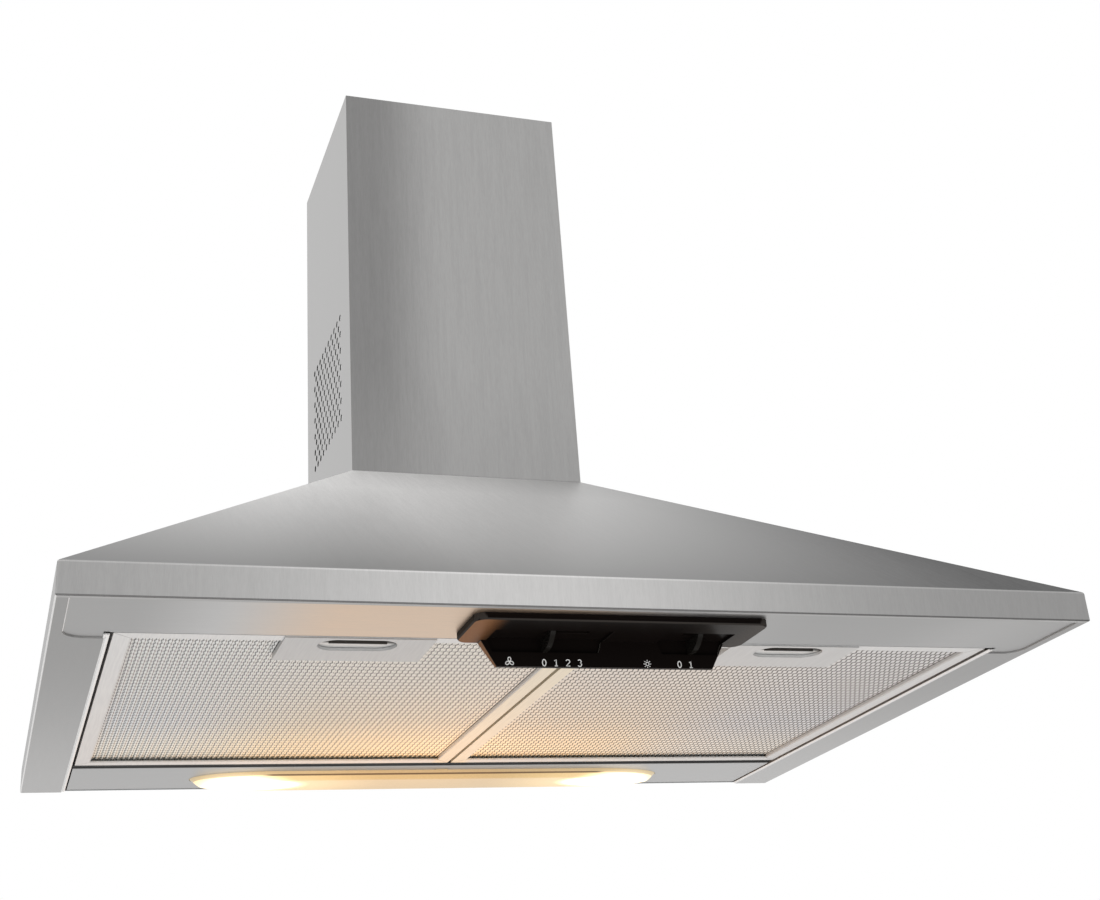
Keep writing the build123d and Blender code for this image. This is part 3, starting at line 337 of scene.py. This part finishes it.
def lamp_panel_painted_light(g):
    """Even, with the fold towards the filters in the dark."""
    x, _, _ = g.place()
    _, ny, _ = g.facing()
    # Painted: a little lighter towards the right, the fold painted dark as shade
    return g.blend(g.smooth(ny, -0.3, -0.6), g.smooth(x, -0.27, 0.25, 0.80, 0.90), 0.10)


steel_upright = brushed("steel_upright", (1.0, 1.0, 0.05), 0.34, 0.06, chimney_painted_light)
steel_canopy = brushed("steel_canopy", (1.0, 0.08, 0.08), 0.48, 0.05, canopy_painted_light, metallic=0.6)
steel_panel = brushed("steel_panel", (0.1, 1.0, 1.0), 0.40, 0.05, panel_painted_light)
steel_lamp_panel = brushed("steel_lamp_panel", (0.1, 1.0, 1.0), 0.40, 0.05, lamp_panel_painted_light)


# ---- Plain metals, paints and plastics ----

def plain(name, colour, roughness=0.5, metallic=0.0, speckle=0.04, scale=900.0, bump=0.05,
          gloss=0.5):
    """Moulded or painted surface with a fine texture."""
    g = material_graph(name)
    grain = g.noise(scale, 3.0)
    return g.surface(
        Base_Color=g.mix(grain, *spread(colour, speckle)),
        Metallic=metallic,
        Specular_IOR_Level=gloss,
        Roughness=g.remap(grain, 0.3, 0.7, roughness - 0.03, roughness + 0.03),
        Normal=g.bump(grain, bump, 0.0001))


# The hems are real; their paler steel is a painted highlight for the light along their rounded
# edges
steel_hem_highlight = plain(
    "steel_hem_highlight", (0.78, 0.775, 0.77), 0.35, metallic=0.5, speckle=0.03, scale=1200.0)
galvanised = plain(
    "galvanised", (0.45, 0.46, 0.47), 0.45, metallic=1.0, speckle=0.10, scale=160.0, bump=0.1)
bare_steel = plain("bare_steel", (0.6, 0.6, 0.61), 0.3, metallic=1.0, scale=700.0, bump=0.03)
slider_black = plain(
    "slider_black", (0.009, 0.008, 0.007), 0.25, speckle=0.2, scale=1800.0, gloss=0.06)
black_matte = plain("black_matte", (0.02, 0.02, 0.02))
white_matte = plain("white_matte", (0.8, 0.8, 0.78))
grey_matte = plain("grey_matte", (0.18, 0.19, 0.2))
motor_paint = plain("motor_paint", (0.05, 0.05, 0.055), 0.4)
board_green = plain("board_green", (0.04, 0.14, 0.06), 0.45)
legend_white = plain("legend_white", (0.85, 0.85, 0.83), speckle=0.03)


def control_plastic():
    """Black grained plastic with painted highlights along its edges, the legend blade's brightest
    of all.

    Warm light lies on the left end and grey light on the right end of its underside.
    """
    g = material_graph("control_plastic")
    x, _, z = g.place()
    nx, ny, nz = g.facing()
    grain = g.noise(2600.0, 3.0)
    steepest = g.most(g.size(nx), g.size(ny), g.size(nz))
    # Painted highlight lines on the rounded and slanted edges
    edge = g.times(g.smooth(steepest, 0.985, 0.93), g.smooth(steepest, 0.60, 0.69))
    speck = g.smooth(grain, 0.35, 0.65, 0.65, 1.25)
    underside = g.times(g.smooth(nz, -0.80, -0.95), g.smooth(z, -0.1075, -0.1080))
    blade_end = g.times(
        g.smooth(nx, -0.5, -0.8), g.smooth(x, -0.058, -0.061), g.smooth(z, -0.1086, -0.1090))
    left = g.most(g.times(underside, g.smooth(x, -0.063, -0.080)), blade_end)
    right = g.times(underside, g.smooth(x, 0.035, 0.10))
    # Edge highlight painted brightest on the legend blade's lower edges
    edge_highlight = g.mix(g.smooth(z, -0.1084, -0.1088), (0.035, 0.031, 0.028), (0.18, 0.165, 0.15))
    shade = g.mix(edge, (0.006, 0.0045, 0.004), edge_highlight)
    # Painted warm lamp light on the left end and painted grey light on the right end of the
    # underside
    shade = g.mix(g.times(left, speck), shade, (0.20, 0.095, 0.042))
    shade = g.mix(g.times(right, speck), shade, (0.060, 0.055, 0.051))
    return g.surface(
        Base_Color=shade,
        Specular_IOR_Level=0.01,
        Roughness=g.remap(grain, 0.3, 0.7, 0.27, 0.33),
        Normal=g.bump(grain, 0.12, 0.0001))


control_black = control_plastic()


# ---- Aluminium of the filters ----

def rolled(g, shade, roll):
    return g.surface(
        Base_Color=shade, Metallic=0.45, Roughness=0.42, Normal=g.bump(roll, 0.05, 0.0001))


def rolling_noise(g):
    return g.noise(1.0, 2.0, (900, 40, 900))


def filter_aluminium(name, mitre=False, painted_brightness=1.0):
    """Pale rolled aluminium; with mitre, a fine dark line runs across each corner of the frame, and
    the rails near the middle are painted warm with the lamps' light. The brightness factor paints a
    lit or a shaded copy.
    """
    g = material_graph(name)
    x, y, _ = g.place()
    roll = rolling_noise(g)
    dark = tuple(painted_brightness * c for c in (0.60, 0.60, 0.60))
    light = tuple(painted_brightness * c for c in (0.65, 0.65, 0.645))
    shade = g.mix(g.smooth(roll, 0.3, 0.7), dark, light)
    if mitre:
        # Rails near the middle painted warm, as the lamps' light on them
        lamp_lit_middle = g.smooth(g.size(x), 0.016, 0.010)
        shade = g.scaled(shade, g.mix(lamp_lit_middle, WHITE, (1.14, 1.04, 0.84)))
        to_side = g.minus(FILTER_HALF_WIDTH * MM, g.size(g.minus(g.size(x), FILTER_X * MM)))
        to_end = g.minus(FILTER_HALF_DEPTH * MM, g.size(g.minus(y, FILTER_Y * MM)))
        off_seam = g.smooth(g.size(g.minus(to_side, to_end)), 0.0001, 0.0004)
        shade = g.mix(off_seam, (0.22, 0.21, 0.20), shade)
    return rolled(g, shade, roll)


aluminium = filter_aluminium("filter_aluminium")
aluminium_frame = filter_aluminium("filter_frame_aluminium", mitre=True)
# The left handle is painted darker and the right lighter: a shaded and a lit copy of one aluminium
handle_aluminium = {hand: filter_aluminium(f"handle_aluminium_{hand}", painted_brightness=painted_brightness)
                    for hand, painted_brightness in (("left", 0.74), ("right", 0.82))}


def latch_metal():
    """Latch slide: its part behind the front edge of the finger slot lies in the dark."""
    g = material_graph("latch_metal")
    _, y, _ = g.place()
    roll = rolling_noise(g)
    lit = g.mix(roll, (0.62, 0.62, 0.61), (0.70, 0.70, 0.69))
    return rolled(g, g.mix(g.smooth(y, -0.3885, -0.3865), (0.05, 0.045, 0.04), lit), roll)


latch_aluminium = latch_metal()

RIB_PITCH = 262.4 / 73 * MM  # 73 ribs across a mat of 262.4 mm
OPENING_PITCH = 7.0 * MM


def expanded_mesh():
    """Ribbed mat of expanded aluminium: staggered rows of openings along each rib, painted dark as
    the shade seen through them.
    """
    g = material_graph("expanded_mesh")
    x, y, _ = g.place()
    rib = g.over(x, RIB_PITCH)
    column = g.math("FLOOR", g.times(rib, 2.0))
    row = g.plus(g.over(y, OPENING_PITCH), g.times(column, 0.5))
    across = g.math("COSINE", g.times(rib, 4 * math.pi))
    along = g.math("COSINE", g.times(row, 2 * math.pi))
    dots = g.plus(g.times(across, 0.5), g.times(along, 0.5))
    # Openings painted dark, as the shade seen through them
    shade = g.mix(g.smooth(dots, -0.1, 0.6), (0.74, 0.74, 0.735), (0.09, 0.085, 0.08))

    # What the lamps, at the rear, and the kitchen's light, at the front, add to it
    beside = g.smooth(g.size(g.plus(x, 0.015)), 0.10, 0.21)
    front = g.mix(beside, (1.0, 0.985, 0.94), (0.965, 0.98, 0.985))
    rear = g.mix(beside, (0.99, 0.965, 0.85), (0.91, 0.98, 1.06))
    for tint in (
            g.mix(g.smooth(y, -0.21, -0.105), WHITE, (1.26, 1.18, 1.04)),
            g.mix(g.smooth(y, -0.33, -0.12), front, rear),
            g.mix(g.smooth(x, -0.01, 0.06), WHITE, (0.93, 0.935, 0.955))):
        shade = g.scaled(shade, tint)
    return g.surface(
        Base_Color=shade, Metallic=0.25, Roughness=0.5, Normal=g.bump(dots, 0.35, 0.0003))


mesh_aluminium = expanded_mesh()


# ---- Lamps and their cover ----

# Where a lamp glows through the cover, and how far, in metres
LAMP_X, LAMP_Y = 0.140, -0.038
GLOW_LENGTH, GLOW_WIDTH = 0.034, 0.017


def lit_cover():
    """Translucent cover, lit from inside by a lamp at each end."""
    g = material_graph("lit_cover")
    x, y, z = g.place()
    along = g.over(g.minus(g.size(x), LAMP_X), GLOW_LENGTH)
    off_axis = g.over(g.minus(y, LAMP_Y), GLOW_WIDTH)
    far = g.math("SQRT", g.plus(g.times(along, along), g.times(off_axis, off_axis)))
    hot = g.smooth(far, 1.35, 0.6)
    glow = g.smooth(far, 3.2, 0.9)
    seam = g.times(g.between(z, -0.1064, -0.1056, 0.0002), g.smooth(g.size(x), 0.135, 0.125))
    rim = g.smooth(z, -0.1062, -0.1058)
    frost = g.noise(700.0, 3.0)
    base = g.mix(frost, (0.30, 0.28, 0.19), (0.40, 0.36, 0.25))
    warm = g.mix(glow, (0.84, 0.555, 0.17), (0.98, 0.70, 0.32))
    strength = g.plus(0.20, g.times(glow, 0.34), g.times(hot, 2.2))
    return g.surface(
        Base_Color=g.mix(seam, base, (0.10, 0.075, 0.05)),
        Roughness=0.3,
        Emission_Color=g.mix(hot, warm, (1.0, 0.93, 0.80)),
        Emission_Strength=g.times(strength, g.blend(rim, 1.0, 0.40), g.blend(seam, 1.0, 0.25)),
        Normal=g.bump(frost, 0.2, 0.0004))


def lit_lamp():
    """Frosted bulb that glows."""
    g = material_graph("lamp_glow")
    return g.surface(
        Base_Color=g.mix(g.noise(500.0), (0.8, 0.8, 0.8), (0.9, 0.9, 0.9)),
        Roughness=0.4,
        Emission_Color=(1.0, 0.82, 0.55),
        Emission_Strength=4.0)


cover_lit = lit_cover()
lamp_glow = lit_lamp()


# ---- Which node wears which finish ----

FINISH = {
    "canopy": steel_canopy,
    "chimney": steel_upright,
    "front_panel": steel_panel,
    "lamp_panel": steel_lamp_panel,
    "lamp_cover": cover_lit, "lamp_cover_rim": cover_lit,
    "lamp_left": lamp_glow, "lamp_right": lamp_glow,
    "back_plate": galvanised, "chimney_bracket": galvanised, "mounting_plate": galvanised,
    "lamp_tray": galvanised, "motor_bracket": galvanised,
    "scroll_left": galvanised, "scroll_right": galvanised,
    "motor": motor_paint,
    "motor_shaft": bare_steel, "motor_screws": bare_steel, "blower_screws": bare_steel,
    "flap_pins": bare_steel,
    "impeller": grey_matte, "flap_front": grey_matte, "flap_rear": grey_matte,
    "outlet_spigot": black_matte, "cable_gland": black_matte,
    "lamp_socket_left": white_matte, "lamp_socket_right": white_matte, "terminal_box": white_matte,
    "control_panel": control_black,
    "fan_slider": slider_black, "lamp_slider": slider_black,
    "switch_board": board_green,
}
for hand in ("left", "right"):
    FINISH[f"filter_frame_{hand}"] = aluminium_frame
    FINISH[f"filter_mesh_{hand}"] = mesh_aluminium
    FINISH[f"filter_handle_{hand}"] = handle_aluminium[hand]
    FINISH[f"filter_latch_{hand}"] = latch_aluminium

for name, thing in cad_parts.items():
    thing.data.materials.clear()
    thing.data.materials.append(FINISH[name])


# ---- Added pieces ----

def add_piece(name, built, body, material, node=None):
    """Makes the bmesh a piece that rides on the body, in place of the node if one is named."""
    data = bpy.data.meshes.new(name)
    built.to_mesh(data)
    built.free()
    data.materials.append(material)
    piece = add_object(name, data)
    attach(piece, body)
    if node:
        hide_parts(node)


def swept(rings):
    """Closed solid through the rings, which are lists of as many points each."""
    built = bmesh.new()
    rows = [[built.verts.new(point) for point in ring] for ring in rings]
    for first, second in zip(rows, rows[1:]):
        for i in range(len(first)):
            j = (i + 1) % len(first)
            built.faces.new((first[i], second[i], second[j], first[j]))
    built.faces.new(rows[0])
    built.faces.new(rows[-1])
    bmesh.ops.recalc_face_normals(built, faces=built.faces)
    return built


# ---- Rounded outer folds ----

MERGE_DISTANCE = 1e-6
FLAT_ANGLE = math.radians(0.5)
FOLD_ANGLE = math.radians(25)


def softened(name, body, width, smallest_face, shortest_edge, segments=2):
    """Stands for a node: the same solid, with the outer folds between its larger faces rounded."""
    built = bmesh.new()
    built.from_mesh(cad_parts[name].data)
    bmesh.ops.remove_doubles(built, verts=built.verts, dist=MERGE_DISTANCE)
    bmesh.ops.dissolve_limit(built, angle_limit=FLAT_ANGLE, verts=built.verts, edges=built.edges)
    folds = [
        edge for edge in built.edges
        if len(edge.link_faces) == 2 and edge.calc_length() > shortest_edge
        and edge.calc_face_angle_signed() > FOLD_ANGLE
        and min(face.calc_area() for face in edge.link_faces) > smallest_face
    ]
    bmesh.ops.bevel(built, geom=folds, offset=width, offset_type="OFFSET", segments=segments,
                    profile=0.5, affect="EDGES", clamp_overlap=True)
    bmesh.ops.triangulate(built, faces=[face for face in built.faces if len(face.verts) > 4])
    add_piece(f"{name}_folded", built, body, FINISH[name], name)


SHEET_ROUNDING = 1.2 * MM
PLASTIC_ROUNDING = 0.35 * MM

softened("canopy", "hood", SHEET_ROUNDING, 2600 * SQUARE_MM, 15 * MM, 3)
softened("control_panel", "hood", PLASTIC_ROUNDING, 30 * SQUARE_MM, 3 * MM)
for slider in ("fan_slider", "lamp_slider"):
    softened(slider, slider, PLASTIC_ROUNDING, 8 * SQUARE_MM, 3 * MM)


# ---- Hems of the rim, and the walls of the filters' rails; all in millimetres ----

HEM_STEPS = 4
HEM_ROUNDING = 0.6  # share of the hem's height that its lower face takes up

HEM_X = 270.2  # between the hem of the side flange and that of the corner
FLANGE_HEM_X, CORNER_HEM_X = 268.2, 271.5
FLANGE_HEM_Y = (-404.2, -264, -132, -2)
CORNER_HEM_Y = (-404.2, -396.8)
HEM_HEIGHT = 0.9
BEAD_X = (-292.6, -291.9)
BEAD_Y = (-465.8, -437, -408.6)
BEAD_HEIGHT = 0.75


def hem(name, first_x, last_x, stations, height):
    """Thin strip up to that height over the rim, with a rounded lower face, in the paler steel of a
    painted highlight.
    """
    rings = []
    for y in stations:
        ring = []
        for i in range(HEM_STEPS + 1):
            s = i / HEM_STEPS
            drop = math.sin(math.pi * s) * height * HEM_ROUNDING
            ring.append(at(first_x + (last_x - first_x) * s, y, height * HEM_ROUNDING - drop))
        rings.append(ring + [at(last_x, y, height), at(first_x, y, height)])
    add_piece(name, swept(rings), "hood", steel_hem_highlight)


for hand, side in (("left", -1), ("right", 1)):
    hem(f"flange_hem_{hand}", side * HEM_X, side * FLANGE_HEM_X, FLANGE_HEM_Y, HEM_HEIGHT)
    hem(f"corner_hem_{hand}", side * CORNER_HEM_X, side * HEM_X, CORNER_HEM_Y, HEM_HEIGHT)
# The bead, in the same paler steel, is a painted highlight along the front panel's left edge
hem("panel_bead", *BEAD_X, BEAD_Y, BEAD_HEIGHT)

RAIL_PROFILE = ((-0.25, 1.7), (0.25, 1.7), (0.4, 2.2), (0.25, 4.1), (-0.25, 4.1), (-0.4, 2.2))
RAIL_ENDS = (-393.6, -92.4)
RAIL_OFFSET = 123.3


def rail_wall(name, body, x):
    """Folded-in edge of a filter frame's rail, which hides the space over the mat."""
    rings = [[at(x + dx, y, h) for dx, h in RAIL_PROFILE] for y in RAIL_ENDS]
    add_piece(name, swept(rings), body, aluminium)


for hand, centre in (("left", -FILTER_X), ("right", FILTER_X)):
    for edge, x in (("west", centre - RAIL_OFFSET), ("east", centre + RAIL_OFFSET)):
        rail_wall(f"rail_wall_{hand}_{edge}", f"filter_{hand}", x)


# ---- Legends of the controls, in millimetres ----

BLADE_Y = -418.05
LEGEND_H = -15.7
LEGEND_SHIFT = 3.0

DIGIT_STROKE = 0.55
FAN_STROKE = 0.5
FAN_RAISE = 0.3
LAMP_STROKE = 0.45
RAY_FROM, RAY_TO = 1.6, 2.35


def legend(name, built, x):
    """Flat white marking on the front of the blade, from a bmesh made in the plane round 0, 0."""
    for vertex in built.verts:
        vertex.co = at(x + LEGEND_SHIFT + vertex.co.x, BLADE_Y, LEGEND_H + vertex.co.y)
    add_piece(name, built, "hood", legend_white)


def stroke(built, points, width, closed=False):
    """Adds a flat line of that width along the points."""
    count = len(points)
    pairs = []
    for i, point in enumerate(points):
        before = points[(i - 1) % count] if closed or i else point
        after = points[(i + 1) % count] if closed or i < count - 1 else point
        along = (Vector(after) - Vector(before)).normalized()
        side = Vector((-along.y, along.x)) * width / 2
        pairs.append([built.verts.new((*(Vector(point) + side * s), 0)) for s in (1, -1)])
    for i in range(count if closed else count - 1):
        (a, b), (c, d) = pairs[i], pairs[(i + 1) % count]
        built.faces.new((a, b, d, c))


def polar(radius, degrees):
    return radius * math.cos(math.radians(degrees)), radius * math.sin(math.radians(degrees))


def arc(cx, cy, rx, ry, start, end, steps=18):
    """Points on an ellipse's arc, with the angles in degrees."""
    turns = [start + (end - start) * i / steps for i in range(steps + 1)]
    return [(cx + polar(rx, turn)[0], cy + polar(ry, turn)[1]) for turn in turns]


# Each figure's lines, with True for those that close
DIGITS = {
    "0": [(arc(0, 0, 1.05, 1.85, 0, 340), True)],
    "1": [([(-0.9, 1.1), (0.15, 1.85), (0.15, -1.85)], False),
          ([(-0.8, -1.8), (1.0, -1.8)], False)],
    "2": [(arc(0, 0.85, 1.1, 1.0, 165, -35) + [(-1.1, -1.75), (1.25, -1.75)], False)],
    "3": [(arc(-0.05, 0.92, 1.0, 0.92, 150, -80) + arc(-0.05, -0.92, 1.15, 0.95, 80, -150), False)],
}
STOPS = (("0", "fan", -37.3), ("1", "fan", -30.3), ("2", "fan", -23.2), ("3", "fan", -16.2),
         ("0", "lamp", 45.0), ("1", "lamp", 52.0))


def digit(figure, control, x):
    built = bmesh.new()
    for points, closed in DIGITS[figure]:
        stroke(built, points, DIGIT_STROKE, closed)
    legend(f"legend_{figure}_{control}", built, x)


def fan_sign(x):
    """Three blades round a middle."""
    built = bmesh.new()
    for turn in (90, 210, 330):
        cosine, sine = polar(1, turn)
        blade = [(px * cosine - py * sine, px * sine + py * cosine + FAN_RAISE)
                 for px, py in arc(1.45, 0, 1.15, 0.85, 20, 340, 16)]
        stroke(built, blade, FAN_STROKE, True)
    legend("legend_fan", built, x)


def lamp_sign(x):
    """A ring with eight rays."""
    built = bmesh.new()
    stroke(built, arc(0, 0, 1.0, 1.0, 0, 345), LAMP_STROKE, True)
    for ray in range(8):
        stroke(built, [polar(RAY_FROM, 45 * ray), polar(RAY_TO, 45 * ray)], LAMP_STROKE)
    legend("legend_lamp", built, x)


for figure, control, x in STOPS:
    digit(figure, control, x)
fan_sign(-57.6)
lamp_sign(25.0)


# ---- Stage: floor, world and studio lights ----

FLOOR_REACH, FLOOR_BACK, FLOOR_Z = 2.6, 0.45, -0.95
SURROUND_LIGHT = 0.62  # strength of the white surround where it lights matt surfaces


def add_floor():
    data = bpy.data.meshes.new("floor")
    corners = [(x, y, FLOOR_Z) for x, y in (
        (-FLOOR_REACH, -FLOOR_REACH), (FLOOR_REACH, -FLOOR_REACH),
        (FLOOR_REACH, FLOOR_BACK), (-FLOOR_REACH, FLOOR_BACK))]
    data.from_pydata(corners, [], [(0, 1, 2, 3)])
    floor = add_object("floor", data)
    g = material_graph("floor_white")
    data.materials.append(g.surface(
        Base_Color=g.mix(g.noise(3.0), (0.80, 0.80, 0.80), (0.82, 0.82, 0.82)), Roughness=0.9))


def add_world():
    """White surround, full where it is seen or mirrored and weaker as a light."""
    world = bpy.data.worlds.new("studio")
    bpy.context.scene.world = world
    g = Graph(world)
    rays = g.node("ShaderNodeLightPath").outputs
    seen = g.most(rays["Is Camera Ray"], rays["Is Transmission Ray"], rays["Is Glossy Ray"])
    background = g.node("ShaderNodeBackground", {
        "Color": WHITE, "Strength": g.remap(seen, 0.0, 1.0, SURROUND_LIGHT, 1.0)})
    g.node("ShaderNodeOutputWorld", {0: background.outputs[0]})


def area_light(name, place, target, size, power):
    data = bpy.data.lights.new(name, "AREA")
    data.shape = "RECTANGLE"
    data.size, data.size_y = size
    data.energy = power
    light = add_object(name, data)
    light.location = place
    light.rotation_euler = (Vector(target) - Vector(place)).to_track_quat("-Z", "Y").to_euler()
    light.visible_camera = False


def lamp_wash():
    """Warm light of both lamps on the filters; the lit cover itself shows in the gloss."""
    data = bpy.data.lights.new("lamp_wash", "POINT")
    data.energy = 1.35
    data.color = (1.0, 0.47, 0.12)
    data.shadow_soft_size = 0.05
    light = add_object("lamp_wash", data)
    light.location = at(-35, -115, -165)
    light.visible_glossy = False


add_floor()
add_world()
area_light("key", (-1.6, -2.2, 1.8), target=(0, -0.2, 0.1), size=(1.6, 1.6), power=18)
area_light("from_below", (-0.2, -1.2, -0.85), target=(-0.2, -1.19, 0), size=(1.6, 1.0), power=9)
lamp_wash()

bpy.context.scene.view_settings.view_transform = "Standard"

bpy.context.view_layer.update()
